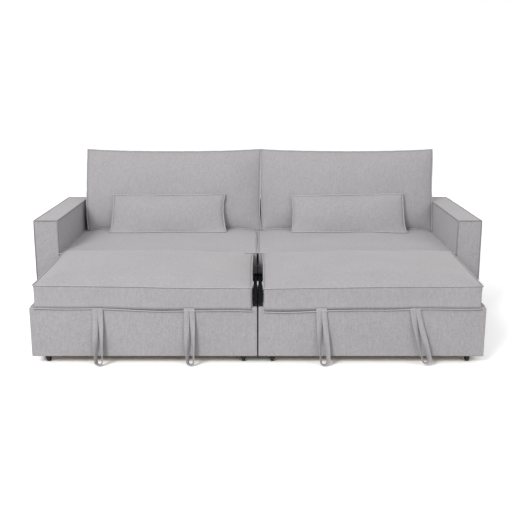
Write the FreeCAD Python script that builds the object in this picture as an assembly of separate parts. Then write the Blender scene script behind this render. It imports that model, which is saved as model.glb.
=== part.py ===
import FreeCAD
import Part
import math
import os

# Sofa bed with two pull-out units whose seat decks rise on parallel arms.
# Millimetres. X runs along the sofa, +Y points to its back, Z is up from the floor.
# While it is built, Y is 0 at the front of the armrests. The last step moves
# the origin to the middle of the footprint.

# Sofa body
sofa_width = 2500.0
sofa_depth = 861.0
arm_width = 134.0
arm_height = 600.0
foot_height = 30.0
foot_radius = 24.0
foot_inset = 60.0
edge_round = 7.0
back_top = arm_height
back_thickness = 83.0
back_skirt_thickness = 18.0

# Seat of the fixed part
deck_underside = 296.0
seat_tube = 30.0
seat_tube_wall = 2.5
tube_setback = 24.0
deck_board = 12.0
seat_border = 18.0
seat_top = 426.0
seat_crown = 9.0

# Pull-out units, shown rolled out
unit_clearance = 3.0
roll_out = 652.0
unit_depth = 840.0
unit_underside = 41.0
unit_height = 250.0
front_panel = 30.0
side_board = 20.0
rear_board = 18.0
rail_width = 90.0
rail_height = 22.0
unit_round = 6.0
glide_height = 14.0
glide_z = 200.0
glide_gap = 0.3

# Rising deck and its arms
arm_length = 160.0
arm_lean = 10.0
arm_plate = 5.0
arm_strip = 28.0
arm_side_gap = 6.0
pivot_plate = 4.0
pivot_plate_size = 60.0
stub_end_gap = 0.3
bracket_plate = 4.0
bracket_gap = 1.5
bracket_half_width = 22.0
bracket_end_radius = 12.0
pin_radius = 5.0
pin_clearance = 0.08
open_pin_clearance = 0.30
tie_tube_radius = 9.0
deck_panel = 18.0
deck_drop = 15.0
deck_side_gap = 27.0
deck_front_setback = 37.0
deck_rear_gap = 15.0
pivot_below_deck = 20.0
front_pivot_from_front = 132.0
pivot_spacing = 390.0

# Front cushion on the rising deck
front_cushion_seam = 400.0
front_cushion_rise = 16.0
front_cushion_crown = 10.0
front_cushion_overhang = 3.0
front_cushion_rear_gap = 10.0
seat_gap = 0.3
cushion_gap = 0.7

# Casters
wheel_radius = 17.5
wheel_width = 16.0
wheel_chamfer = 1.5
axle_radius = 3.0
fork_cheek = 3.0
fork_gap = 1.0
fork_top = 3.0
fork_length = 34.0
caster_from_side = 69.0
caster_from_front = 52.0
caster_from_rear = 60.0

# Pull straps
strap_width = 62.0
strap_slot = 14.0
strap_thickness = 3.0
strap_floor_gap = 3.0
strap_stand_off = 0.3
strap_round = 24.0
strap_corner = 18.0
strap_from_outer_side = 345.0
strap_spacing = 447.0
strap_stitched = 60.0
strap_top_drop = 1.0
strap_reach = 150.0
strap_slant = {("right", 1): 13.0, ("right", 2): 3.0, ("left", 1): 0.0, ("left", 2): 0.0}

# Loose cushions
back_cushion_side_room = 35.0
back_cushion_inset = 1.5
back_cushion_height = 500.0
back_cushion_depth = 175.0
back_cushion_top_depth = 60.0
back_cushion_top_fall = 14.0
back_cushion_bulge = 26.0
back_cushion_top_bulge = 6.0
cushion_pinch = 0.70
cushion_shoulder = 0.93
cushion_end = 34.0
cushion_tuck = 4.0
cushion_lip = 6.0
cushion_waist = 3.0
crown_steps = ((0.55, 45.0), (0.88, 120.0), (1.0, 220.0))
lumbar_width = 705.0
lumbar_height = 240.0
lumbar_depth = 120.0
lumbar_from_middle = 195.0
lumbar_lean = 14.0
lumbar_rear_gap = 2.0
lumbar_top_fall = 12.0
lumbar_bottom_share = 0.35
lumbar_top_share = 0.30
lumbar_bulge_share = 0.42
lumbar_foot_bulge = 3.0
lumbar_top_bulge = 6.0
wall_gap = 0.7

half_inner = sofa_width / 2 - arm_width
back_cushion_width = half_inner - back_cushion_side_room
unit_width = half_inner - 2 * unit_clearance
unit_top = unit_underside + unit_height
unit_front = -roll_out
deck_bottom = unit_top - deck_drop
deck_top = deck_bottom + deck_panel
tip_height = deck_bottom - pivot_below_deck
lean = math.radians(arm_lean)
pivot_height = tip_height - arm_length * math.cos(lean)
front_tip_y = unit_front + front_pivot_from_front
pivot_y = {"front": front_tip_y + arm_length * math.sin(lean)}
pivot_y["rear"] = pivot_y["front"] + pivot_spacing
deck_left = deck_side_gap
deck_width = unit_width - 2 * deck_side_gap

nodes = {}


def box(x0, x1, y0, y1, z0, z1):
    return Part.makeBox(x1 - x0, y1 - y0, z1 - z0, FreeCAD.Vector(x0, y0, z0))


def rod(radius, length, x, y, z):
    return Part.makeCylinder(radius, length, FreeCAD.Vector(x, y, z), FreeCAD.Vector(1, 0, 0))


def round_edges(shape, radius, along=None):
    """Rounds the edges, all of them or only those that run along one axis."""
    chosen = []
    for edge in shape.Edges:
        first = edge.Vertexes[0].Point
        last = edge.Vertexes[-1].Point
        run = last - first
        length = {"x": abs(run.x), "y": abs(run.y), "z": abs(run.z)}
        if along is None or length[along] > 0.99 * run.Length:
            chosen.append(edge)
    return shape.makeFillet(radius, chosen)


def add(name, shape, side=None):
    """Keeps a node; a unit's pieces are drawn on the right and mirrored to the left."""
    if side == "left":
        shape = shape.mirror(FreeCAD.Vector(0, 0, 0), FreeCAD.Vector(1, 0, 0))
    nodes[name] = shape


def drawn_in_rectangle(x0, x1, y0, y1, z, pull):
    """A closed outline whose four sides curve in between the corners."""
    corners = [(x0, y0), (x1, y0), (x1, y1), (x0, y1)]
    centre_x = (x0 + x1) / 2
    centre_y = (y0 + y1) / 2
    edges = []
    for index, start in enumerate(corners):
        end = corners[(index + 1) % 4]
        middle_x = (start[0] + end[0]) / 2
        middle_y = (start[1] + end[1]) / 2
        if start[1] == end[1]:
            middle_y += pull if middle_y < centre_y else -pull
        else:
            middle_x += pull if middle_x < centre_x else -pull
        edges.append(Part.Arc(FreeCAD.Vector(start[0], start[1], z),
                              FreeCAD.Vector(middle_x, middle_y, z),
                              FreeCAD.Vector(end[0], end[1], z)).toShape())
    return Part.Wire(edges)


def box_cushion(x0, x1, y0, y1, z0, seam, crown, pull, rear_rise=0.0):
    """A bordered cushion: pinched border, full seam line and a crowned top.

    The seam and the top lie level, or rise by rear_rise from the front to the rear."""
    tilt = math.degrees(math.atan(rear_rise / (y1 - y0)))
    centre = FreeCAD.Vector((x0 + x1) / 2, (y0 + y1) / 2, seam)
    levels = [(z0, cushion_tuck, pull, 0.0), (z0 + cushion_lip, 0.0, pull, 0.0),
              ((z0 + seam) / 2, cushion_waist, pull, tilt / 2), (seam, 0.0, pull, tilt)]
    for share, inset in crown_steps:
        levels.append((seam + share * crown, inset, (1 - share) * pull + 0.3, tilt))
    wires = []
    for z, inset, curve, angle in levels:
        wire = drawn_in_rectangle(x0 + inset, x1 - inset, y0 + inset, y1 - inset, z, curve)
        wire.rotate(centre, FreeCAD.Vector(1, 0, 0), angle)
        wires.append(wire)
    return Part.makeLoft(wires, True, True)


def profile_wire(x, points, bulges, scale):
    """A closed outline in the YZ plane; each side is an arc with its own bulge.

    scale thins the outline front to back and leaves its height."""
    centre_y = sum(p[0] for p in points) / len(points)
    placed = [(centre_y + (y - centre_y) * scale, z) for y, z in points]
    edges = []
    for index, start in enumerate(placed):
        end = placed[(index + 1) % len(placed)]
        run_y = end[0] - start[0]
        run_z = end[1] - start[1]
        length = math.hypot(run_y, run_z)
        bulge = bulges[index] * scale
        if bulge == 0:
            edges.append(Part.LineSegment(FreeCAD.Vector(x, start[0], start[1]),
                                          FreeCAD.Vector(x, end[0], end[1])).toShape())
            continue
        middle_y = (start[0] + end[0]) / 2 + bulge * run_z / length
        middle_z = (start[1] + end[1]) / 2 - bulge * run_y / length
        edges.append(Part.Arc(FreeCAD.Vector(x, start[0], start[1]),
                              FreeCAD.Vector(x, middle_y, middle_z),
                              FreeCAD.Vector(x, end[0], end[1])).toShape())
    return Part.Wire(edges)


def pillow(x0, x1, points, bulges):
    """A loose cushion: its profile swells from pinched ends to a full middle."""
    width = x1 - x0
    stations = [(x0, cushion_pinch), (x0 + cushion_end, cushion_shoulder), (x0 + width / 2, 1.0),
                (x1 - cushion_end, cushion_shoulder), (x1, cushion_pinch)]
    wires = [profile_wire(x, points, bulges, scale) for x, scale in stations]
    return Part.makeLoft(wires, True, True)


def make_armrest(side):
    block = box(half_inner, half_inner + arm_width, 0, sofa_depth, foot_height, arm_height)
    add("armrest_" + side, round_edges(block, edge_round), side)


def make_back():
    upper = box(-half_inner, half_inner, sofa_depth - back_thickness, sofa_depth,
                deck_underside, back_top)
    nodes["back_rest"] = round_edges(upper, edge_round, "x")
    nodes["back_skirt"] = box(-half_inner, half_inner, sofa_depth - back_skirt_thickness,
                              sofa_depth, foot_height, deck_underside)


def square_tube_x(x0, x1, y0, z0):
    outer = box(x0, x1, y0, y0 + seat_tube, z0, z0 + seat_tube)
    bore = box(x0, x1, y0 + seat_tube_wall, y0 + seat_tube - seat_tube_wall,
               z0 + seat_tube_wall, z0 + seat_tube - seat_tube_wall)
    return outer.cut(bore)


def square_tube_y(x0, y0, y1, z0):
    outer = box(x0, x0 + seat_tube, y0, y1, z0, z0 + seat_tube)
    bore = box(x0 + seat_tube_wall, x0 + seat_tube - seat_tube_wall, y0, y1,
               z0 + seat_tube_wall, z0 + seat_tube - seat_tube_wall)
    return outer.cut(bore)


def make_seat():
    rear_y = sofa_depth - back_thickness - seat_tube
    nodes["seat_tube_front"] = square_tube_x(-half_inner, half_inner, tube_setback, deck_underside)
    nodes["seat_tube_rear"] = square_tube_x(-half_inner, half_inner, rear_y, deck_underside)
    start = tube_setback + seat_tube
    nodes["seat_tube_middle"] = square_tube_y(-seat_tube / 2, start, rear_y, deck_underside)
    board_z = deck_underside + seat_tube
    for side in ("right", "left"):
        add("seat_board_" + side,
            box(unit_clearance, half_inner, seat_border, rear_y + seat_tube, board_z,
                board_z + deck_board), side)
        add("seat_border_" + side,
            box(unit_clearance, half_inner - unit_clearance, 0, seat_border, deck_underside + 1,
                board_z + deck_board), side)
        add("seat_cushion_" + side,
            box_cushion(unit_clearance, half_inner - unit_clearance, 0,
                        sofa_depth - back_thickness - wall_gap, board_z + deck_board + seat_gap,
                        seat_top - seat_crown, seat_crown, unit_clearance), side)


def make_feet():
    feet = []
    for x in (half_inner + arm_width / 2, -half_inner - arm_width / 2):
        for y in (foot_inset, sofa_depth - foot_inset):
            feet.append(Part.makeCylinder(foot_radius, foot_height, FreeCAD.Vector(x, y, 0)))
    nodes["feet"] = Part.makeCompound(feet)


def unit_x(offset):
    return unit_clearance + offset


def make_unit_box(side):
    rear = unit_front + unit_depth
    x0 = unit_x(0)
    x1 = unit_x(unit_width)
    panel = box(x0, x1, unit_front, unit_front + front_panel, unit_underside, unit_top)
    add("unit_front_" + side, round_edges(panel, unit_round), side)
    for name, x in (("inner", x0), ("outer", x1 - side_board)):
        add("unit_side_" + name + "_" + side,
            box(x, x + side_board, unit_front + front_panel, rear - rear_board,
                unit_underside, unit_top), side)
    add("unit_rear_" + side,
        box(x0, x1, rear - rear_board, rear, unit_underside, pivot_height + tie_tube_radius), side)
    add("glide_strip_" + side,
        box(x1, half_inner - glide_gap, unit_front + front_panel, rear, glide_z,
            glide_z + glide_height), side)
    rails = []
    for y in caster_rows():
        rails.append(box(x0 + side_board, x1 - side_board, y - rail_width / 2, y + rail_width / 2,
                         unit_underside, unit_underside + rail_height))
    front_limit = unit_front + front_panel
    rails[0] = rails[0].common(box(x0, x1, front_limit, rear, 0, unit_top))
    rails[1] = rails[1].common(box(x0, x1, front_limit, rear - rear_board, 0, unit_top))
    add("unit_rails_" + side, Part.makeCompound(rails), side)


def caster_rows():
    rear = unit_front + unit_depth
    return (unit_front + caster_from_front, rear - caster_from_rear)


def caster_places():
    places = []
    for row, y in zip(("front", "rear"), caster_rows()):
        for column, x in (("inner", caster_from_side), ("outer", unit_width - caster_from_side)):
            places.append((row + "_" + column, unit_x(x), y))
    return places


def make_wheel(x, y):
    """A disc with chamfered shoulders and an axle bore."""
    start = x - wheel_width / 2
    disc = rod(wheel_radius, wheel_width, start, y, wheel_radius)
    shoulders = [edge for edge in disc.Edges if edge.BoundBox.XLength < 0.1]
    disc = disc.makeChamfer(wheel_chamfer, shoulders)
    return disc.cut(rod(axle_radius + pin_clearance, wheel_width, start, y, wheel_radius))


def make_casters(side):
    forks = []
    for name, x, y in caster_places():
        inner = wheel_width / 2 + fork_gap
        outer = inner + fork_cheek
        plate = box(x - outer, x + outer, y - fork_length / 2, y + fork_length / 2,
                    unit_underside - fork_top, unit_underside)
        fork = plate
        for start in (-outer, inner):
            cheek = box(x + start, x + start + fork_cheek, y - fork_length / 4,
                        y + fork_length / 4, wheel_radius, unit_underside - fork_top)
            boss = rod(fork_length / 4, fork_cheek, x + start, y, wheel_radius)
            fork = fork.fuse(cheek).fuse(boss)
        fork = fork.fuse(rod(axle_radius, 2 * outer, x - outer, y, wheel_radius))
        forks.append(fork.removeSplitter())
        add("wheel_" + name + "_" + side, make_wheel(x, y), side)
    add("caster_forks_" + side, Part.makeCompound(forks), side)


def arm_strip_shape(x, y, bore_radius):
    """One flat arm from its low pivot to its tip, with rounded ends and a tip hole."""
    plate = rod(arm_strip / 2, arm_plate, x, y, pivot_height)
    tip = rod(arm_strip / 2, arm_plate, x, y, pivot_height + arm_length)
    blade = box(x, x + arm_plate, y - arm_strip / 2, y + arm_strip / 2, pivot_height,
                pivot_height + arm_length)
    whole = plate.fuse(blade).fuse(tip)
    whole = whole.cut(rod(bore_radius, arm_plate, x, y, pivot_height + arm_length))
    whole.rotate(FreeCAD.Vector(0, y, pivot_height), FreeCAD.Vector(1, 0, 0), arm_lean)
    return whole


def make_lift_arms(side):
    left = unit_x(side_board + arm_side_gap)
    right = unit_x(unit_width - side_board - arm_side_gap - arm_plate)
    for row, clearance in (("front", pin_clearance), ("rear", open_pin_clearance)):
        y = pivot_y[row]
        pair = rod(tie_tube_radius, right - left, left, y, pivot_height)
        for x in (left, right):
            pair = pair.fuse(arm_strip_shape(x, y, pin_radius + clearance))
        stub = arm_side_gap - stub_end_gap
        for x in (left - stub, right + arm_plate):
            pair = pair.fuse(rod(pin_radius, stub, x, y, pivot_height))
        add("lift_arms_" + row + "_" + side, pair.removeSplitter(), side)


def make_pivot_plates(side):
    """Steel plates on the side boards; each has a hole for an arm's stub."""
    plates = []
    half = pivot_plate_size / 2
    for x in (unit_x(side_board), unit_x(unit_width - side_board) - pivot_plate):
        for row in ("front", "rear"):
            plate = box(x, x + pivot_plate, pivot_y[row] - half, pivot_y[row] + half,
                        pivot_height - half, pivot_height + half)
            hole = rod(pin_radius + pin_clearance, pivot_plate, x, pivot_y[row], pivot_height)
            plates.append(plate.cut(hole))
    add("pivot_plates_" + side, Part.makeCompound(plates), side)


def make_deck(side):
    x0 = unit_x(deck_left)
    x1 = x0 + deck_width
    y0 = unit_front + deck_front_setback
    y1 = -deck_rear_gap
    add("deck_board_" + side, box(x0, x1, y0, y1, deck_bottom, deck_top), side)
    brackets = []
    inner_left = unit_x(side_board + arm_side_gap) + arm_plate + bracket_gap
    inner_right = unit_x(unit_width - side_board - arm_side_gap) - arm_plate - bracket_gap
    for x, outward in ((inner_left, -1), (inner_right - bracket_plate, 1)):
        for row in ("front", "rear"):
            y = pivot_y[row] - arm_length * math.sin(lean)
            plate = box(x, x + bracket_plate, y - bracket_half_width, y + bracket_half_width,
                        tip_height, deck_bottom)
            plate = plate.fuse(rod(bracket_end_radius, bracket_plate, x, y, tip_height))
            pin_start = x - bracket_gap - arm_plate if outward < 0 else x + bracket_plate
            pin = rod(pin_radius, bracket_gap + arm_plate, pin_start, y, tip_height)
            brackets.append(plate.fuse(pin).removeSplitter())
    add("deck_brackets_" + side, Part.makeCompound(brackets), side)
    add("front_cushion_" + side,
        box_cushion(x0, x1, unit_front - front_cushion_overhang, -front_cushion_rear_gap,
                    deck_top + seat_gap, front_cushion_seam + front_cushion_rise / 2,
                    front_cushion_crown, unit_clearance, front_cushion_rise), side)


def make_straps(side):
    outer_edge = unit_x(unit_width)
    for index in (1, 2):
        x = outer_edge - strap_from_outer_side - (index - 1) * strap_spacing
        y1 = unit_front - strap_stand_off
        y0 = y1 - strap_thickness
        ring = box(x - strap_width / 2, x + strap_width / 2, y0, y1, strap_floor_gap,
                   unit_top - strap_top_drop)
        slot = box(x - strap_slot / 2, x + strap_slot / 2, y0, y1,
                   strap_floor_gap + strap_round, unit_top - strap_stitched)
        ring = ring.cut(slot)
        corners = [edge for edge in ring.Edges
                   if edge.BoundBox.ZMax < strap_floor_gap + 1 and edge.BoundBox.XLength < 0.1]
        ring = ring.makeFillet(strap_corner, corners)
        outward = FreeCAD.Vector(0, -1, 0)
        ring.rotate(FreeCAD.Vector(x, y0, unit_top), outward, strap_slant[side, index])
        ring = ring.common(box(x - strap_reach, x + strap_reach, y0, y1, 0,
                               unit_top - strap_top_drop))
        add("pull_strap_" + str(index) + "_" + side, ring, side)


def back_cushion_points():
    rear = sofa_depth - back_thickness - wall_gap
    bottom = seat_top - seat_crown + cushion_gap
    top = seat_top + back_cushion_height
    front = rear - back_cushion_depth
    return [(front, bottom), (rear, bottom), (rear, top - back_cushion_top_fall),
            (rear - back_cushion_top_depth, top)]


def make_loose_cushions(side):
    half_gap = unit_clearance
    cushion_x0 = half_gap + back_cushion_inset
    cushion_x1 = cushion_x0 + back_cushion_width
    bulges = (0.0, 0.0, back_cushion_top_bulge, back_cushion_bulge)
    back = pillow(cushion_x0, cushion_x1, back_cushion_points(), bulges)
    seat = nodes["seat_cushion_right"]
    raised = seat.translated(FreeCAD.Vector(0, 0, cushion_gap))
    back = back.cut(raised)
    add("back_cushion_" + side, back, side)
    front = back_cushion_points()[0][0]
    tilt = math.tan(math.radians(lumbar_lean))
    base = seat_top - seat_crown / 2
    rear = front - lumbar_rear_gap
    top_rear = rear + lumbar_height * tilt
    points = [(rear - lumbar_depth * lumbar_bottom_share, base), (rear, base),
              (top_rear, base + lumbar_height - lumbar_top_fall),
              (top_rear - lumbar_depth * lumbar_top_share, base + lumbar_height)]
    lumbar = pillow(lumbar_from_middle, lumbar_from_middle + lumbar_width, points,
                    (lumbar_foot_bulge, lumbar_top_bulge, lumbar_top_bulge,
                     lumbar_depth * lumbar_bulge_share))
    lumbar = lumbar.cut(back.translated(FreeCAD.Vector(0, -cushion_gap, 0)))
    lumbar = lumbar.cut(raised)
    add("lumbar_cushion_" + side, lumbar, side)


def main():
    os.makedirs("parts", exist_ok=True)
    make_back()
    make_seat()
    make_feet()
    for side in ("right", "left"):
        make_armrest(side)
        make_unit_box(side)
        make_casters(side)
        make_pivot_plates(side)
        make_lift_arms(side)
        make_deck(side)
        make_straps(side)
        make_loose_cushions(side)
    whole = Part.makeCompound(list(nodes.values()))
    middle = (whole.BoundBox.YMin + whole.BoundBox.YMax) / 2
    for name, shape in nodes.items():
        placed = shape.translated(FreeCAD.Vector(0, -middle, 0))
        placed.exportStep("parts/" + name + ".step")
        solids = len(placed.Solids)
        print(name, solids, "valid" if placed.isValid() else "NOT VALID", round(placed.Volume))
    print("origin is", round(middle, 3), "behind the front of the armrests")
    for row in ("front", "rear"):
        print(row, "pivot", round(pivot_y[row] - middle, 3), round(pivot_height, 3))
        tip = pivot_y[row] - arm_length * math.sin(lean) - middle
        print(row, "tip", round(tip, 3), round(tip_height, 3))
    for name, x, y in caster_places():
        print("wheel", name, round(x, 2), round(y - middle, 3), wheel_radius)
    bounds = whole.BoundBox
    print("size", round(bounds.XLength, 1), round(bounds.YLength, 1), round(bounds.ZLength, 1),
          "lowest", round(bounds.ZMin, 3))


main()
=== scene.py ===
# %% [markdown]
# # Dressing a sofa bed
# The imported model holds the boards, tubes, arms and casters at their real size.
# This lesson adds what a person sees first: stuffed cushions, sewn seams, the
# upholstery cloth, the pull straps, and the light that shows them.

# %% Load the frame
import math

import bmesh
import bpy
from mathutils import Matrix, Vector, noise
from mathutils.bvhtree import BVHTree


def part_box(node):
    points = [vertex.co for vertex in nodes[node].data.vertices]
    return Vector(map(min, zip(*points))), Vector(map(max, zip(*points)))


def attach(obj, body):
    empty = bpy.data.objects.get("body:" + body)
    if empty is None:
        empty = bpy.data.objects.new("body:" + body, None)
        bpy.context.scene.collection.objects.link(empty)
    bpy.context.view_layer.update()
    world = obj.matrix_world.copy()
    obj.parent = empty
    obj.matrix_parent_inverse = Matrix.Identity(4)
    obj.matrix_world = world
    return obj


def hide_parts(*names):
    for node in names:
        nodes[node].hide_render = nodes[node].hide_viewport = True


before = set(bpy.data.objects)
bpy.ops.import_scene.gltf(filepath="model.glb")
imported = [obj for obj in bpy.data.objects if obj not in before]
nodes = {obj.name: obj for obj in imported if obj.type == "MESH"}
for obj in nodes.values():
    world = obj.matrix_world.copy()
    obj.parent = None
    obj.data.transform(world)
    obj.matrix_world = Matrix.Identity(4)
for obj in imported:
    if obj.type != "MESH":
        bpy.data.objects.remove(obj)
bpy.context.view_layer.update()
SIDES = ("right", "left")
print("nodes in the frame:", len(nodes))

# %% [markdown]
# ## Two helpers that every step uses
# One puts an object into the scene. The other gives a mesh its one material and
# smooth faces.

# %% Small helpers for objects
def add_object(name, data):
    thing = bpy.data.objects.new(name, data)
    bpy.context.scene.collection.objects.link(thing)
    return thing


def dress_mesh(data, material):
    data.materials.append(material)
    for face in data.polygons:
        face.use_smooth = True


# %% [markdown]
# ## The camera
# The photograph looks slightly down on the sofa bed from a little over four
# metres. A plain 36 mm sensor and a 55.6 mm lens give its perspective. The
# object is centred within a millimetre or two, so the lens needs no shift.

# %% Place the camera
ARM_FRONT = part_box("armrest_right")[0].y
CAMERA_SIDE = -0.0014
CAMERA_DISTANCE = 4.36
CAMERA_HEIGHT = 1.405
CAMERA_PITCH = 13.1
CAMERA_LENS = 55.6

camera_data = bpy.data.cameras.new("photo_camera")
camera_data.sensor_width = 36.0
camera_data.lens = CAMERA_LENS
camera = add_object("photo_camera", camera_data)
camera.location = (CAMERA_SIDE, ARM_FRONT - CAMERA_DISTANCE, CAMERA_HEIGHT)
camera.rotation_euler = (math.radians(90 - CAMERA_PITCH), 0, 0)
bpy.context.scene.camera = camera

# %% [markdown]
# ## Cloth as a shader
# The cover is a pale grey melange: yarns of two greys, woven tight. Up close it
# shows as crossing yarns, from a step away as a fine speckle and faint slubs.
# Both live in one node group, so each cloth can have its own scale and contrast.

# %% Small helpers for shader nodes
def add_node(tree, kind, **settings):
    node = tree.nodes.new(kind)
    for key, value in settings.items():
        setattr(node, key, value)
    return node


def make_group(name, inputs):
    """A node group with the given inputs and the three outputs that each material links."""
    group = bpy.data.node_groups.new(name, "ShaderNodeTree")
    for label, kind, value in inputs:
        socket = group.interface.new_socket(name=label, in_out="INPUT", socket_type=kind)
        socket.default_value = value
    for label, kind in (("Color", "NodeSocketColor"), ("Height", "NodeSocketFloat"),
                        ("Roughness", "NodeSocketFloat")):
        group.interface.new_socket(name=label, in_out="OUTPUT", socket_type=kind)
    source = add_node(group, "NodeGroupInput")
    result = add_node(group, "NodeGroupOutput")
    place = add_node(group, "ShaderNodeTexCoord").outputs["Object"]
    return group, source, result, place


def set_inputs(node, **values):
    for name, value in values.items():
        node.inputs[name.replace("_", " ")].default_value = value


def math_node(tree, operation, first, second):
    node = add_node(tree, "ShaderNodeMath", operation=operation)
    for index, value in enumerate((first, second)):
        if isinstance(value, (int, float)):
            node.inputs[index].default_value = value
        else:
            tree.links.new(value, node.inputs[index])
    return node.outputs[0]


def noise_node(tree, place, **values):
    node = add_node(tree, "ShaderNodeTexNoise")
    set_inputs(node, **values)
    tree.links.new(place, node.inputs["Vector"])
    return node.outputs["Fac"]


def colour_node(tree, factor, dark, light):
    node = add_node(tree, "ShaderNodeMix", data_type="RGBA")
    for label, value in (("Factor", factor), ("A", dark), ("B", light)):
        tree.links.new(value, node.inputs[label])
    return node.outputs["Result"]


# %% The melange weave group
SPECK_SHARE = 2.0
DRIFT_SHARE = 0.25
BLEND_MIDDLE = 0.90
THREAD_HEIGHT = 0.35
CLOTH_ROUGHNESS = 0.80
CLOTH_ROUGH_SWING = 0.16


def make_weave_group():
    group, source, result, place = make_group("melange_weave", (
        ("Yarn Dark", "NodeSocketColor", (0.30, 0.30, 0.31, 1)),
        ("Yarn Light", "NodeSocketColor", (0.50, 0.49, 0.50, 1)),
        ("Threads", "NodeSocketFloat", 900.0),
        ("Slubs", "NodeSocketFloat", 0.55)))
    split = add_node(group, "ShaderNodeSeparateXYZ")
    group.links.new(place, split.inputs[0])
    yarns = []
    for axis in "XZ":
        run = math_node(group, "ADD", split.outputs[axis], split.outputs["Y"])
        phase = math_node(group, "MULTIPLY", run, source.outputs["Threads"])
        yarns.append(math_node(group, "SINE", phase, 0))
    crossing = math_node(group, "MULTIPLY", *yarns)

    stretch = add_node(group, "ShaderNodeMapping")
    stretch.inputs["Scale"].default_value = (170.0, 60.0, 26.0)
    group.links.new(place, stretch.inputs["Vector"])
    speck = noise_node(group, place, Scale=190.0, Detail=4.0, Roughness=0.75)
    slub = noise_node(group, stretch.outputs[0], Scale=1.0, Detail=2.0)
    drift = noise_node(group, place, Scale=5.0, Detail=2.0)

    blend = math_node(group, "ADD", math_node(group, "MULTIPLY", slub, source.outputs["Slubs"]),
                      math_node(group, "MULTIPLY", speck, SPECK_SHARE))
    blend = math_node(group, "ADD", blend, math_node(group, "MULTIPLY", drift, DRIFT_SHARE))
    factor = math_node(group, "SUBTRACT", blend, BLEND_MIDDLE)
    colour = colour_node(group, factor, source.outputs["Yarn Dark"], source.outputs["Yarn Light"])
    group.links.new(colour, result.inputs["Color"])

    height = math_node(group, "ADD", math_node(group, "MULTIPLY", crossing, THREAD_HEIGHT), speck)
    group.links.new(height, result.inputs["Height"])
    rough = math_node(group, "ADD", math_node(group, "MULTIPLY", speck, CLOTH_ROUGH_SWING),
                      CLOTH_ROUGHNESS)
    group.links.new(rough, result.inputs["Roughness"])
    return group


WEAVE = make_weave_group()


# %% [markdown]
# ## Wear and grain for hard parts
# Powder-coated steel, moulded plastic, rubber and plywood all share one idea: one
# noise drives the uneven colour, the roughness and the fine relief. One group
# serves them, and plywood stretches it along its face grain.

# %% The grain group
GRAIN_ROUGH_SWING = 0.2


def make_grain_group():
    group, source, result, place = make_group("surface_grain", (
        ("Base", "NodeSocketColor", (0.02, 0.02, 0.02, 1)),
        ("Worn", "NodeSocketColor", (0.08, 0.08, 0.08, 1)),
        ("Scale", "NodeSocketVector", (60.0, 60.0, 60.0)),
        ("Roughness", "NodeSocketFloat", 0.5)))
    stretch = add_node(group, "ShaderNodeVectorMath", operation="MULTIPLY")
    group.links.new(place, stretch.inputs[0])
    group.links.new(source.outputs["Scale"], stretch.inputs[1])
    figure = noise_node(group, stretch.outputs[0], Scale=1.0, Detail=4.0, Roughness=0.6)
    colour = colour_node(group, figure, source.outputs["Base"], source.outputs["Worn"])
    group.links.new(colour, result.inputs["Color"])
    group.links.new(figure, result.inputs["Height"])
    swing = math_node(group, "MULTIPLY", figure, GRAIN_ROUGH_SWING)
    group.links.new(math_node(group, "ADD", source.outputs["Roughness"], swing),
                    result.inputs["Roughness"])
    return group


GRAIN = make_grain_group()


# %% Build a material around one of the groups
def make_material(name, group, bump_strength, bump_distance, sheen=0.0, **values):
    material = bpy.data.materials.new(name)
    material.use_nodes = True
    tree = material.node_tree
    shader = tree.nodes["Principled BSDF"]
    effect = add_node(tree, "ShaderNodeGroup", node_tree=group)
    set_inputs(effect, **values)
    bump = add_node(tree, "ShaderNodeBump")
    set_inputs(bump, Strength=bump_strength, Distance=bump_distance)
    tree.links.new(effect.outputs["Height"], bump.inputs["Height"])
    tree.links.new(bump.outputs["Normal"], shader.inputs["Normal"])
    tree.links.new(effect.outputs["Color"], shader.inputs["Base Color"])
    tree.links.new(effect.outputs["Roughness"], shader.inputs["Roughness"])
    shader.inputs["Sheen Weight"].default_value = sheen
    return material


UPHOLSTERY = make_material("melange_upholstery", WEAVE, 0.35, 0.0012, sheen=0.25,
                           Yarn_Dark=(0.262, 0.253, 0.260, 1),
                           Yarn_Light=(0.428, 0.414, 0.426, 1))
# The welts are the cover fabric, coloured lighter here as painted highlight for the light that a
# raised welt catches.
WELT_PAINTED_HIGHLIGHT = make_material("welt_cloth_painted_highlight", WEAVE, 0.35, 0.0010, sheen=0.2, Threads=1400.0,
                     Yarn_Dark=(0.298, 0.287, 0.295, 1), Yarn_Light=(0.476, 0.461, 0.472, 1))
# Lighter still on the back cushions and pillows: painted highlight where their welts catch the
# light.
LOOSE_WELT_PAINTED_HIGHLIGHT = make_material("loose_welt_painted_highlight", WEAVE, 0.35, 0.0010, sheen=0.2, Threads=1400.0,
                           Yarn_Dark=(0.315, 0.304, 0.312, 1),
                           Yarn_Light=(0.500, 0.485, 0.496, 1))
# The arm piping is the cover fabric, coloured darker here as painted shade for the shadowed seam
# line beside each arm welt.
ARM_PIPING_PAINTED_SHADE = make_material("arm_piping_painted_shade", WEAVE, 0.35, 0.0010, sheen=0.1, Threads=1400.0,
                           Yarn_Dark=(0.175, 0.168, 0.175, 1),
                           Yarn_Light=(0.300, 0.290, 0.298, 1))
STRAP_CLOTH = make_material("strap_cloth", WEAVE, 0.45, 0.0012, sheen=0.2, Threads=1200.0,
                            Yarn_Dark=(0.270, 0.260, 0.268, 1),
                            Yarn_Light=(0.440, 0.426, 0.438, 1))
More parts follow.
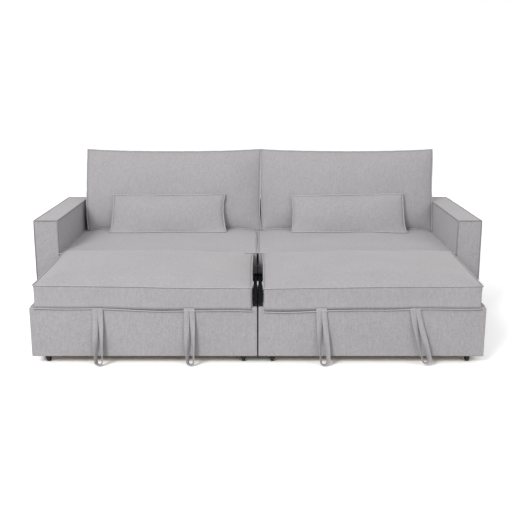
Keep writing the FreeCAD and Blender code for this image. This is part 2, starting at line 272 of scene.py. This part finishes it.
# Black lining on the inner boards, skirt and rear panels, made near-black as painted shade for
# the deep gaps that it fills.
LINING_AND_PAINTED_SHADE = make_material("black_lining_and_painted_shade", WEAVE, 0.3, 0.0006, Threads=500.0,
                       Yarn_Dark=(0.006, 0.006, 0.007, 1), Yarn_Light=(0.018, 0.018, 0.020, 1))
STEEL = make_material("black_powder_coat", GRAIN, 0.12, 0.0004, Scale=(260.0, 260.0, 260.0),
                      Base=(0.020, 0.020, 0.022, 1), Worn=(0.045, 0.045, 0.048, 1))
PLASTIC = make_material("moulded_black", GRAIN, 0.10, 0.0003, Scale=(300.0, 300.0, 300.0),
                        Base=(0.012, 0.012, 0.012, 1), Worn=(0.030, 0.030, 0.030, 1))
RUBBER = make_material("tread_rubber", GRAIN, 0.25, 0.0005, Scale=(180.0, 180.0, 180.0),
                       Base=(0.010, 0.010, 0.010, 1), Worn=(0.040, 0.039, 0.038, 1))
PLYWOOD = make_material("birch_plywood", GRAIN, 0.20, 0.0006, Scale=(6.0, 90.0, 90.0),
                        Base=(0.50, 0.34, 0.19, 1), Worn=(0.68, 0.52, 0.33, 1))
print("materials:", len(bpy.data.materials))

# %% [markdown]
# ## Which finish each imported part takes
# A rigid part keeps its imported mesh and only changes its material. The names
# say what each one is, so a short table of name beginnings is enough.

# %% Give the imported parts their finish
FINISHES = (
    (UPHOLSTERY, ("armrest", "back_rest", "seat_border", "unit_front", "unit_side_outer")),
    (LINING_AND_PAINTED_SHADE, ("back_skirt", "unit_side_inner", "unit_rear")),
    (PLYWOOD, ("unit_rails", "seat_board", "deck_board")),
    (STEEL, ("seat_tube", "lift_arms", "pivot_plates", "deck_brackets")),
    (PLASTIC, ("feet", "caster_forks", "glide_strip")),
    (RUBBER, ("wheel",)),
    (STRAP_CLOTH, ("pull_strap",)),
)
for node_name, node_object in nodes.items():
    for material, beginnings in FINISHES:
        if node_name.startswith(beginnings):
            node_object.data.materials.clear()
            node_object.data.materials.append(material)

# %% [markdown]
# ## A sheet of squares to sew from
# Every cushion starts as a cube that planes cut into even squares. The planes
# also fall exactly on the seams, so a seam is a loop of edges that the later
# steps can find again by its vertex group.

# %% Cut a cube into even squares
SQUARE = 0.026
EDGE_REACH = 0.045
ON_FACE = 1e-5


def gridded_box(size, square):
    """A closed box of even squares, centred on the origin."""
    mesh = bmesh.new()
    bmesh.ops.create_cube(mesh, size=1.0)
    bmesh.ops.scale(mesh, vec=Vector(size), verts=mesh.verts)
    for axis in range(3):
        cuts = max(2, round(size[axis] / square))
        normal = Vector((0, 0, 0))
        normal[axis] = 1.0
        for index in range(1, cuts):
            place = normal * (size[axis] * (index / cuts - 0.5))
            everything = mesh.verts[:] + mesh.edges[:] + mesh.faces[:]
            bmesh.ops.bisect_plane(mesh, geom=everything, plane_co=place, plane_no=normal)
    return mesh


def on_face(point, size, axis):
    return abs(abs(point[axis]) - size[axis] / 2) < ON_FACE


def edge_closeness(point, size):
    """How near a point of the box is to its nearest sewn edge: 1 on it, 0 far off."""
    gaps = sorted(abs(size[axis] / 2 - abs(point[axis])) for axis in range(3))
    return math.exp(-gaps[1] / EDGE_REACH)


def crown_box(mesh, size, crowns, fullness, pinch):
    """Crowns the front and the back of a box and draws its four sides in."""
    for vertex in mesh.verts:
        point = vertex.co
        across = 1 - (2 * point.x / size[0]) ** 2
        upward = 1 - (2 * point.y / size[1]) ** 2
        if on_face(point, size, 2):
            crown = crowns[0] if point.z > 0 else crowns[1]
            swollen = crown * max(0.0, across * upward) ** fullness
            vertex.co.z += math.copysign(swollen, point.z)
        if on_face(point, size, 0):
            vertex.co.x -= math.copysign(pinch[0] * upward, point.x)
        if on_face(point, size, 1):
            vertex.co.y -= math.copysign(pinch[1] * across, point.y)


def mark_seams(piece, flat, size):
    """Groups for the two seams, for both together and for the corners of the border."""
    groups = {name: piece.vertex_groups.new(name=name)
              for name in ("seam", "front", "back", "corner")}
    for number, point in enumerate(flat):
        sides = sum(on_face(point, size, axis) for axis in (0, 1))
        if sides == 2:
            groups["corner"].add([number], 1.0, "REPLACE")
        if sides and on_face(point, size, 2):
            groups["front" if point.z > 0 else "back"].add([number], 1.0, "REPLACE")
            groups["seam"].add([number], 1.0, "REPLACE")


# %% [markdown]
# ## Stuffing a cushion
# A cushion is cloth held tight over foam. Blender's Cloth with pressure and no
# gravity swells the squares while the seams hold back, which crowns the faces
# and draws the sides in, as foam under a cover does. The move of each point is
# capped so the cushion stays in the space that its solid holds.

# %% Swell a box with the Cloth modifier
FRAMES = 18
CLOTH = {
    "quality": 4, "mass": 0.35, "tension_stiffness": 18.0, "compression_stiffness": 14.0,
    "shear_stiffness": 8.0, "bending_stiffness": 1.2, "use_pressure": True,
    "vertex_group_mass": "seam", "pin_stiffness": 0.6,
}


def swell(piece, pressure, cap):
    before = [vertex.co.copy() for vertex in piece.data.vertices]
    cloth = piece.modifiers.new("stuffing", "CLOTH")
    for name, value in CLOTH.items():
        setattr(cloth.settings, name, value)
    cloth.settings.uniform_pressure_force = pressure
    cloth.settings.effector_weights.gravity = 0.0
    cloth.point_cache.frame_start = 1
    cloth.point_cache.frame_end = FRAMES
    scene = bpy.context.scene
    for number in range(1, FRAMES + 1):
        scene.frame_set(number)
    shaped = piece.evaluated_get(bpy.context.evaluated_depsgraph_get()).to_mesh()
    after = [vertex.co.copy() for vertex in shaped.vertices]
    piece.modifiers.remove(cloth)
    scene.frame_set(1)
    for vertex, start, end in zip(piece.data.vertices, before, after):
        move = end - start
        if move.length > cap:
            move *= cap / move.length
        vertex.co = start + move


# %% [markdown]
# ## Small folds
# No two cushions lie alike. Broad waves run over the faces, small puckers sit
# beside the seams, and the seams themselves wander a little.

# %% Let the cover wander and pucker
BROAD_WAVE = (0.0050, 4.0)
WIDE_WAVE = (0.0045, 2.1)
PUCKERS = (34, 34, 9)
SIDE_WAVES = 6.0
WANDER_WAVES = 2.6


def wrinkle(data, nearness, seed, pucker, side_wave, wander):
    """Each wave is a height and a count of waves to the metre, moved on by the seed."""
    shift = Vector((seed * 7.3, seed * 3.1, 0))
    for vertex, near in zip(data.vertices, nearness):
        point = vertex.co
        slow = noise.noise(point * BROAD_WAVE[1] + shift)
        quick = noise.noise(point * Vector(PUCKERS) + shift)
        wide = noise.noise(point * WIDE_WAVE[1] + shift * 3)
        lift = (BROAD_WAVE[0] * slow + WIDE_WAVE[0] * wide) * (1 - near) + pucker * quick * near
        vertex.co += vertex.normal * lift
        height = Vector((0, point.y * SIDE_WAVES, 2.0))
        vertex.co.x += side_wave * noise.noise(height + shift) * near
        spot = Vector((point.x * WANDER_WAVES, point.y * WANDER_WAVES, 0))
        vertex.co.z += wander * noise.noise(spot + shift) * near


# %% [markdown]
# ## Leaning and resting
# Loose cushions press into what carries them. Each point looks along the load,
# and where the neighbour's surface is in the way, it stops just before it. That
# gives the flat bottom of a back cushion and the hollow behind a small pillow.

# %% Keep a point clear of its neighbours
PROBE = 1.0
PROBE_BEYOND = 0.4


def bvh_of(piece):
    mesh = bmesh.new()
    mesh.from_object(piece, bpy.context.evaluated_depsgraph_get())
    tree = BVHTree.FromBMesh(mesh)
    mesh.free()
    return tree


def kept_clear(point, walls, room=0.0):
    """The point, moved back along each wall's load until it clears that wall's surface."""
    for tree, way, gap in walls:
        hit, _, _, distance = tree.ray_cast(point - way * PROBE, way, PROBE + PROBE_BEYOND)
        if hit is not None and distance < PROBE + gap + room:
            point = hit - way * (gap + room)
    return point


# %% [markdown]
# ## Sewing the welt
# Each seam is a thin piped edge. It is a tube that follows the seam's own
# points, read from the swollen cushion, so it rises and dips with the cloth.

# %% Read a seam loop and run a tube along it
WELT_RADIUS = 0.0032
SEAM_CREASE = 0.8
# Where the seat pushes a welt up, it also rolls out in front of the cushion's foot.
FOOT_ROLL = 0.8


def group_members(piece, name):
    index = piece.vertex_groups[name].index
    return {vertex.index for vertex in piece.data.vertices
            if any(entry.group == index for entry in vertex.groups)}


def seam_loop(piece, name):
    """The seam's points in order, walked along the edges of the mesh."""
    members = group_members(piece, name)
    neighbours = {number: [] for number in members}
    for edge in piece.data.edges:
        first, second = edge.vertices
        if first in members and second in members:
            neighbours[first].append(second)
            neighbours[second].append(first)
    path = [min(members)]
    seen = set(path)
    while True:
        ahead = [number for number in neighbours[path[-1]] if number not in seen]
        if not ahead:
            break
        path.append(ahead[0])
        seen.add(ahead[0])
    return [piece.data.vertices[number].co.copy() for number in path]


def tube_along(name, points, radius, material, closed=True):
    """A round welt along points, made from a beveled curve and kept as a mesh."""
    curve = bpy.data.curves.new(name, "CURVE")
    curve.dimensions = "3D"
    curve.bevel_depth = radius
    curve.bevel_resolution = 2
    spline = curve.splines.new("POLY")
    spline.points.add(len(points) - 1)
    for point, place in zip(spline.points, points):
        point.co = (*place, 1.0)
    spline.use_cyclic_u = closed
    holder = bpy.data.objects.new(name, curve)
    mesh = bpy.data.meshes.new_from_object(holder)
    bpy.data.objects.remove(holder)
    bpy.data.curves.remove(curve)
    dress_mesh(mesh, material)
    return add_object(name, mesh)


def sharpen_seams(piece, seams):
    """Creases along seams and border corners, so the smoothed cover still folds there."""
    data = piece.data
    edge_crease = data.attributes.new("crease_edge", "FLOAT", "EDGE")
    corner_crease = data.attributes.new("crease_vert", "FLOAT", "POINT")
    for name in (*seams, "corner"):
        members = group_members(piece, name)
        for edge in data.edges:
            if edge.vertices[0] in members and edge.vertices[1] in members:
                edge_crease.data[edge.index].value = SEAM_CREASE
        if name == "corner":
            break
        low = [min(data.vertices[number].co[axis] for number in members) for axis in range(3)]
        high = [max(data.vertices[number].co[axis] for number in members) for axis in range(3)]
        axes = sorted(range(3), key=lambda axis: high[axis] - low[axis])[1:]
        for end in ((low, low), (low, high), (high, low), (high, high)):
            corner = min(members, key=lambda number: sum(
                abs(data.vertices[number].co[axis] - end[place][axis])
                for place, axis in enumerate(axes)))
            corner_crease.data[corner].value = 1.0


# %% One cushion from start to finish
def sew_cushion(name, size, place, body, replaced, *, crowns, fullness, pressure, cap, seed,
                seams=("front", "back"), square=SQUARE, pinch=(0.003, 0.003), press=(),
                pucker=0.0016, side_wave=0.0, wander=0.004, ripple=0.0004,
                rim=0.0015, rim_depth=1.0, welt_radius=WELT_RADIUS, welt_cloth_painted_highlight=WELT_PAINTED_HIGHLIGHT):
    """size is (width, height, border); the seams run round both faces of the border."""
    mesh = gridded_box(size, square)
    flat = [vertex.co.copy() for vertex in mesh.verts]
    crown_box(mesh, size, crowns, fullness, pinch)
    data = bpy.data.meshes.new(name)
    bmesh.ops.recalc_face_normals(mesh, faces=mesh.faces)
    mesh.to_mesh(data)
    mesh.free()
    piece = add_object(name, data)
    mark_seams(piece, flat, size)
    swell(piece, pressure, cap)
    nearness = [edge_closeness(point, size) for point in flat]
    wrinkle(data, nearness, seed, pucker, side_wave, wander)
    for vertex in data.vertices:
        vertex.co = place(vertex.co)
    data.update()
    walls = [(bvh_of(neighbour), Vector(way), gap) for neighbour, way, gap in press]
    for vertex in data.vertices:
        vertex.co = kept_clear(vertex.co, walls)
    data.update()
    sharpen_seams(piece, seams)
    dress_mesh(data, UPHOLSTERY)

    middle = sum((vertex.co for vertex in data.vertices), Vector()) / len(data.vertices)
    for seam in seams:
        path = []
        for point in seam_loop(piece, seam):
            outward = point - middle
            outward.y *= rim_depth
            wave = Vector((0, 0, ripple * noise.noise(point * 17.0)))
            sewn = point + outward.normalized() * rim + wave
            clear = kept_clear(sewn, walls, welt_radius)
            path.append(clear - Vector((0, FOOT_ROLL * max(0.0, clear.z - sewn.z), 0)))
        welt = tube_along(name + "_welt_" + seam, path, welt_radius, welt_cloth_painted_highlight)
        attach(welt, body)
    finish = piece.modifiers.new("smooth_cover", "SUBSURF")
    finish.levels = 1
    finish.render_levels = 1
    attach(piece, body)
    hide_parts(replaced)
    return piece


# %% [markdown]
# ## The seat and the raised front cushions
# Both are foam slabs in a bordered cover. The seat cushion is fixed. The front
# cushion is glued to the lifting deck, with a waist pulled in between its two
# seams. They are sewn a little full, so the seams wander by a few millimetres.

# %% Sew the slabs
FRONT_PROUD = 0.001
FOOT_SLACK = 0.0005
SEAM_PROUD = 0.001
WAIST = 0.0012
WAIST_REACH = 0.02
HALF_SEAT = 1.1
LIP_DEPTH = 0.004
LIP_HEIGHT = 0.012
# What each slab has in metres: how far its upper seam lies below the solid's top, the crown
# over it, the rise towards the rear, the sag towards the middle, the lip that hangs at the
# front, and how far it stands proud of its solid at the sides and at the rear.
SLABS = {
    "seat_cushion": {"seam": 0.012, "crown": 0.012, "rise": 0.0, "sag": 0.0, "lip": 0.0,
                     "side": -0.001, "rear": 0.0},
    "front_cushion": {"seam": 0.017, "crown": 0.040, "rise": 0.022, "sag": 0.014, "lip": 0.008,
                      "side": 0.0003, "rear": 0.006},
}
slabs = {}
for index, side in enumerate(SIDES):
    for kind, body in (("seat_cushion", "sofa"), ("front_cushion", "deck_" + side)):
        cut = SLABS[kind]
        low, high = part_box(kind + "_" + side)
        proud = Vector((cut["side"], -FRONT_PROUD, 0))
        low = low - proud + Vector((0, 0, FOOT_SLACK))
        high = high + proud + Vector((0, cut["rear"], 0))
        seam_height = high.z - cut["seam"] + SEAM_PROUD
        size = (high.x - low.x, high.y - low.y, seam_height - low.z)
        centre = Vector(((low.x + high.x) / 2, (low.y + high.y) / 2, (low.z + seam_height) / 2))

        def slab_place(point, low=low, high=high, centre=centre, size=size, cut=cut):
            placed = point + centre
            upward = min(1.0, point.z / size[2] + 0.5)
            inner = 0.5 - abs(placed.x) / HALF_SEAT
            placed.z += upward * (cut["rise"] * point.y / size[1] - cut["sag"] * inner)
            waist = WAIST * max(0.0, 1 - (2 * point.z / size[2]) ** 2)
            for axis in (0, 1):
                if abs(point[axis]) > size[axis] / 2 - WAIST_REACH:
                    placed[axis] -= math.copysign(waist, point[axis])
                placed[axis] = min(max(placed[axis], low[axis]), high[axis])
            placed.z = max(placed.z, low.z)
            if point.y < -size[1] / 2 + LIP_DEPTH and point.z < -size[2] / 2 + LIP_HEIGHT:
                lip = cut["lip"]
                drop = lip * (1.0 + 1.3 * noise.noise(Vector((placed.x * 3.1, 5.0, 0))))
                placed += Vector((0, -0.5 * lip, -drop - cut["sag"] * (inner + 0.5)))
            return placed

        slabs[kind, side] = sew_cushion(
            kind + "_cover_" + side, size, slab_place, body, kind + "_" + side,
            crowns=(cut["crown"], 0.0), fullness=0.28, pressure=2.2, cap=0.008,
            seed=index * 3 + (kind == "front_cushion"), rim=0.0025)

# %% [markdown]
# ## The back cushions
# They are deep at the bottom and slim at the top, so they lean by themselves.
# The corners stay sharp while the top edge sags a little between them.

# %% Sew the back cushions
BACK_TOP_DEPTH = 0.050
BACK_FRONT_IN = 0.026
BACK_REAR_IN = 0.003
BACK_DIP = 0.016
REAR_FALL = 0.012
BACK_BORDER = 0.09
BACK_FOOT = 0.001
BACK_RISE = 0.002
BACK_ROOM = 0.0055
SEAT_GAP = 0.0008
# The cushions are a little wider than their solids and lie a little to the right.
BACK_SHIFT = {"right": 0.0230, "left": 0.0105}
BACK_FULL = {"right": 0.0060, "left": 0.0185}
backs = {}
for index, side in enumerate(SIDES):
    low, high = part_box("back_cushion_" + side)
    base = low.z + BACK_FOOT
    size = (high.x - low.x + BACK_FULL[side], high.z - base + BACK_RISE, BACK_BORDER)
    middle = (low.x + high.x) / 2 + BACK_SHIFT[side]
    rear = high.y - BACK_REAR_IN
    bottom_depth = rear - low.y - BACK_FRONT_IN
    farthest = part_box("armrest_right")[0].x - BACK_ROOM

    def back_place(point, size=size, middle=middle, rear=rear, base=base,
                   bottom_depth=bottom_depth, farthest=farthest):
        upward = point.y / size[1] + 0.5
        across = 1 - (2 * point.x / size[0]) ** 2
        depth = bottom_depth + (BACK_TOP_DEPTH - bottom_depth) * upward
        beyond = max(0.0, abs(point.z) - size[2] / 2)
        within = math.copysign(min(abs(point.z), size[2] / 2), point.z) / size[2]
        y = rear - depth * (0.5 + within) - math.copysign(beyond, point.z)
        sag = BACK_DIP * max(0.0, across) ** 0.7 + REAR_FALL * (0.5 - within)
        z = base + upward * size[1] - sag * max(0.0, upward) ** 6
        return Vector((min(middle + point.x, farthest), min(y, rear + BACK_REAR_IN), z))

    backs[side] = sew_cushion(
        "back_cushion_cover_" + side, size, back_place, "back_" + side, "back_cushion_" + side,
        crowns=(0.056, 0.010), fullness=0.42, pressure=3.2, cap=0.014, seed=11 + index,
        seams=("front",), pinch=(0.0, 0.0), side_wave=0.012, rim_depth=0.0,
        welt_cloth_painted_highlight=LOOSE_WELT_PAINTED_HIGHLIGHT, press=((slabs["seat_cushion", side], (0, 0, -1), SEAT_GAP),
                                      (nodes["back_rest"], (0, 1, 0), 0.0015)))

# %% [markdown]
# ## The small pillows
# A lumbar pillow has one seam around its middle, so it is thick in the centre
# and thin at its piped edge. It stands on the seat and leans on the cushion
# behind, which hollows its rear.

# %% Sew the lumbar pillows
LUMBAR_LEAN = math.radians(16.5)
LUMBAR_EDGE = 0.016
LUMBAR_FALL = 0.008
LUMBAR_FOOT = 0.001
LUMBAR_BACK = 0.004
LUMBAR_KICK = 0.036
KICK_HEIGHT = 0.022
# How each pillow lies: its shift to the right, how much wider than its solid it is, how much
# its foot is wider than its top, how far its top is off to one side, and its slope.
LUMBARS = {
    "right": {"shift": 0.018, "full": -0.001, "flare": 0.025, "skew": -0.013, "tilt": 0.016},
    "left": {"shift": -0.012, "full": 0.002, "flare": 0.042, "skew": 0.009, "tilt": 0.004},
}
for index, side in enumerate(SIDES):
    lie = LUMBARS[side]
    low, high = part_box("lumbar_cushion_" + side)
    size = (high.x - low.x + lie["full"], high.z - low.z - LUMBAR_FALL, LUMBAR_EDGE)
    foot = Vector(((low.x + high.x) / 2 + lie["shift"], low.y + LUMBAR_BACK,
                   low.z + LUMBAR_FOOT))

    def lumbar_place(point, size=size, foot=foot, lie=lie):
        height = point.y + size[1] / 2
        upward = height / size[1]
        kick = LUMBAR_KICK * math.exp(-height / KICK_HEIGHT)
        x = point.x * (1 + lie["flare"] * (0.5 - upward)) + lie["skew"] * (upward - 0.5)
        y = math.sin(LUMBAR_LEAN) * height - point.z - kick
        z = height + lie["tilt"] * point.x / size[0] * upward
        return foot + Vector((x, y, z))

    sew_cushion(
        "lumbar_cover_" + side, size, lumbar_place, "lumbar_" + side, "lumbar_cushion_" + side,
        crowns=(0.050, 0.036), fullness=0.5, pressure=3.0, cap=0.012, seed=23 + index,
        seams=("front",), square=0.018, pinch=(0.011, 0.003), pucker=0.0034,
        side_wave=0.010, wander=0.006, ripple=0.003, rim=0.003, rim_depth=0.0,
        welt_radius=0.0040, welt_cloth_painted_highlight=LOOSE_WELT_PAINTED_HIGHLIGHT,
        press=((slabs["seat_cushion", side], (0, 0, -1), SEAT_GAP),
               (backs[side], (0, 1, 0), 0.002)))

# %% [markdown]
# ## The pull straps
# A pull strap is one ribbon sewn from the cover cloth, folded into a loop. Both
# ends come out from under the cushion side by side. One leg hangs flat, and the
# other turns on edge as it nears the bend near the floor.

# %% Fold a ribbon into a hanging loop
RIBBON_WIDTH = 0.0265
RIBBON_THICKNESS = 0.0022
STRAP_SPREAD = 0.0130
EDGE_TURN = math.radians(69)
LEG_STEPS = 22
BEND_STEPS = 10
LEG_RIPPLE = 0.0014
TOP_PROUD = 0.0025
LEG_SWING = 0.0150
TURNED_SWING = 0.004
EDGE_SOFTNESS = 0.45


def ease(value):
    value = min(max(value, 0.0), 1.0)
    return value * value * (3 - 2 * value)


def ribbon_route(top, bottom, lean, turning, bend, slack, seed):
    """Places and width directions down one leg, round the bend and up the other."""
    bend_z = bottom + bend + RIBBON_THICKNESS
    stations = []

    def leg_point(leg, down):
        edge_on = ease(down * 1.05) if leg == turning else slack * ease((down - 0.3) / 0.65)
        angle = EDGE_TURN * edge_on
        half = STRAP_SPREAD + (bend - STRAP_SPREAD) * ease(down) ** 0.8
        ripple = LEG_RIPPLE * noise.noise(Vector((leg * 3.0, down * 3.2, seed * 1.7)))
        x = top.x + leg * half + lean * down ** 1.15 + ripple
        y = top.y - TOP_PROUD - LEG_SWING * ease(down * 1.1)
        y -= TURNED_SWING * (leg == turning) * down
        z = top.z + (bend_z - top.z) * down
        return Vector((x, y, z)), Vector((math.cos(angle), -leg * math.sin(angle), 0))

    for step in range(LEG_STEPS):
        stations.append(leg_point(-1, step / LEG_STEPS))
    start, start_across = leg_point(-1, 1.0)
    end, end_across = leg_point(1, 1.0)
    middle = (start + end) / 2
    half_run = (end - start) / 2
    for step in range(BEND_STEPS + 1):
        turn = math.pi * step / BEND_STEPS
        place = middle - half_run * math.cos(turn) - Vector((0, 0, bend * math.sin(turn)))
        leg_across = start_across if step < BEND_STEPS / 2 else -end_across
        flat = ease(abs(2 * step / BEND_STEPS - 1))
        stations.append((place, Vector((0, 1, 0)).lerp(leg_across, flat)))
    for step in range(LEG_STEPS - 1, -1, -1):
        place, across = leg_point(1, step / LEG_STEPS)
        stations.append((place, -across))
    return stations


def make_ribbon(name, stations, width, thickness):
    """A closed ribbon with softened edges along the stations."""
    half, deep, soft = width / 2, thickness / 2, thickness * EDGE_SOFTNESS
    outline = ((-half, -deep + soft), (-half + soft, -deep), (half - soft, -deep),
               (half, -deep + soft), (half, deep - soft), (half - soft, deep),
               (-half + soft, deep), (-half, deep - soft))
    mesh = bmesh.new()
    rings = []
    previous = None
    for index, (place, across) in enumerate(stations):
        ahead = stations[min(index + 1, len(stations) - 1)][0]
        behind = stations[max(index - 1, 0)][0]
        tangent = (ahead - behind).normalized()
        across = (across - tangent * across.dot(tangent)).normalized()
        if previous is not None and across.dot(previous) < 0:
            across = -across
        previous = across
        out = tangent.cross(across)
        rings.append([mesh.verts.new(place + across * u + out * v) for u, v in outline])
    for ring, following in zip(rings, rings[1:]):
        for corner in range(len(outline)):
            after = (corner + 1) % len(outline)
            mesh.faces.new((ring[corner], ring[after], following[after], following[corner]))
    mesh.faces.new(rings[0])
    mesh.faces.new(reversed(rings[-1]))
    bmesh.ops.recalc_face_normals(mesh, faces=mesh.faces)
    data = bpy.data.meshes.new(name)
    mesh.to_mesh(data)
    mesh.free()
    dress_mesh(data, STRAP_CLOTH)
    return add_object(name, data)


STRAP_FROM_SIDE = 0.345
STRAP_SPACING = 0.447
STRAP_TOP_UP = 0.001
# Each row says how far the strap is sewn to one side of its place, how far the bend hangs
# to one side, which leg turns on edge, the height of the bend, half its width, and how
# much of that turn the other leg makes.
STRAPS = {
    "pull_strap_1_left": (-0.010, -0.001, 1, 0.003, 0.0155, 0.90),
    "pull_strap_2_left": (-0.012, 0.003, 1, 0.004, 0.0155, 0.85),
    "pull_strap_2_right": (-0.011, 0.018, -1, 0.003, 0.0190, 0.60),
    "pull_strap_1_right": (-0.004, 0.062, -1, 0.012, 0.0180, 0.55),
}
for seed, (node_name, hang) in enumerate(STRAPS.items()):
    shift, lean, turning, bottom, bend, slack = hang
    number, side = node_name.split("_")[2:]
    low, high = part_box(node_name)
    strap_x = (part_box("unit_front_right")[1].x - STRAP_FROM_SIDE
               - (int(number) - 1) * STRAP_SPACING)
    top = Vector(((strap_x if side == "right" else -strap_x) + shift, low.y,
                  high.z + STRAP_TOP_UP))
    ribbon = make_ribbon(node_name + "_ribbon",
                         ribbon_route(top, bottom, lean, turning, bend, slack, seed),
                         RIBBON_WIDTH, RIBBON_THICKNESS)
    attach(ribbon, "unit_" + side)
    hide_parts(node_name)

# %% [markdown]
# ## Welts on the frame
# The arms are covered boards with a welt along their top, front and inner
# edges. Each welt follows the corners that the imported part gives.

# %% Run welts along the arms
WELT_INSET = 0.0018
WELT_STOP = 0.30
ARM_WELT = 0.0042
WELT_STEP = 0.04
WELT_WANDER = 0.0008
for side in SIDES:
    low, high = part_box("armrest_" + side)
    x0, x1 = low.x + WELT_INSET, high.x - WELT_INSET
    y0, y1 = low.y + WELT_INSET, high.y - WELT_INSET
    z0, z1 = low.z + WELT_INSET, high.z - WELT_INSET
    ring = [(x0, y0, z1), (x1, y0, z1), (x1, y1, z1), (x0, y1, z1)]
    inner_x, outer_x = (x0, x1) if side == "right" else (x1, x0)
    face = [(outer_x, y0, z0), (outer_x, y0, z1), (inner_x, y0, z1), (inner_x, y0, WELT_STOP)]
    for part, corners in (("top", ring + ring[:1]), ("front", face)):
        path = []
        for start, end in zip(corners, corners[1:]):
            start, end = Vector(start), Vector(end)
            steps = max(2, round((end - start).length / WELT_STEP))
            for step in range(steps):
                point = start.lerp(end, step / steps)
                wander = noise.noise(point * 9.0) * WELT_WANDER
                path.append(point + Vector((wander, wander, wander)))
        if part == "front":
            path.append(Vector(corners[-1]))
        # The darker piping colour is painted shade for the shadow along each arm seam.
        welt = tube_along("arm_welt_" + part + "_" + side, path, ARM_WELT, ARM_PIPING_PAINTED_SHADE,
                          closed=part == "top")
        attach(welt, "sofa")

# %% [markdown]
# ## The floor and the light
# The picture is a catalogue shot: white all round, soft light from above and in
# front, and only a faint shadow under the sofa bed.

# %% Set the stage
FLOOR_SIZE = 60.0
FLOOR_BELOW = 0.0005
FLOOR_SEEN = 1.43
FLOOR_BOUNCE = 0.50
SKY_LIGHT = 0.70
LIGHT_AIM = Vector((0, 0, 0.4))
LIGHTS = (
    ("key", (-4.6, -7.8, 5.8), 3.4, 650),
    ("fill", (5.0, -8.2, 4.6), 5.0, 150),
)
floor_material = bpy.data.materials.new("studio_floor")
floor_material.use_nodes = True
floor_tree = floor_material.node_tree
floor_shader = floor_tree.nodes["Principled BSDF"]
floor_shader.inputs["Roughness"].default_value = 0.9
rays = add_node(floor_tree, "ShaderNodeLightPath")
tint = add_node(floor_tree, "ShaderNodeMix", data_type="RGBA")
tint.inputs["A"].default_value = (*[FLOOR_BOUNCE] * 3, 1)
tint.inputs["B"].default_value = (*[FLOOR_SEEN] * 3, 1)
floor_tree.links.new(rays.outputs["Is Camera Ray"], tint.inputs["Factor"])
floor_tree.links.new(tint.outputs["Result"], floor_shader.inputs["Base Color"])

floor_mesh = bpy.data.meshes.new("studio_floor")
floor_build = bmesh.new()
bmesh.ops.create_grid(floor_build, x_segments=1, y_segments=1, size=FLOOR_SIZE)
floor_build.to_mesh(floor_mesh)
floor_build.free()
floor_mesh.materials.append(floor_material)
floor = add_object("studio_floor", floor_mesh)
floor.location = (0, 0, -FLOOR_BELOW)

world = bpy.data.worlds.new("studio")
world.use_nodes = True
sky = world.node_tree.nodes["Background"]
sky.inputs["Color"].default_value = (1.0, 1.0, 1.0, 1)
sky_rays = add_node(world.node_tree, "ShaderNodeLightPath")
strength = SKY_LIGHT
for ray in ("Is Camera Ray", "Is Glossy Ray", "Is Transmission Ray"):
    strength = math_node(world.node_tree, "MAXIMUM", sky_rays.outputs[ray], strength)
world.node_tree.links.new(strength, sky.inputs["Strength"])
bpy.context.scene.world = world

for name, place, size, power in LIGHTS:
    data = bpy.data.lights.new(name, "AREA")
    data.size = size
    data.energy = power
    lamp = add_object(name, data)
    lamp.location = place
    lamp.rotation_euler = (LIGHT_AIM - Vector(place)).to_track_quat("-Z", "Y").to_euler()
bpy.context.scene.view_settings.view_transform = "Standard"
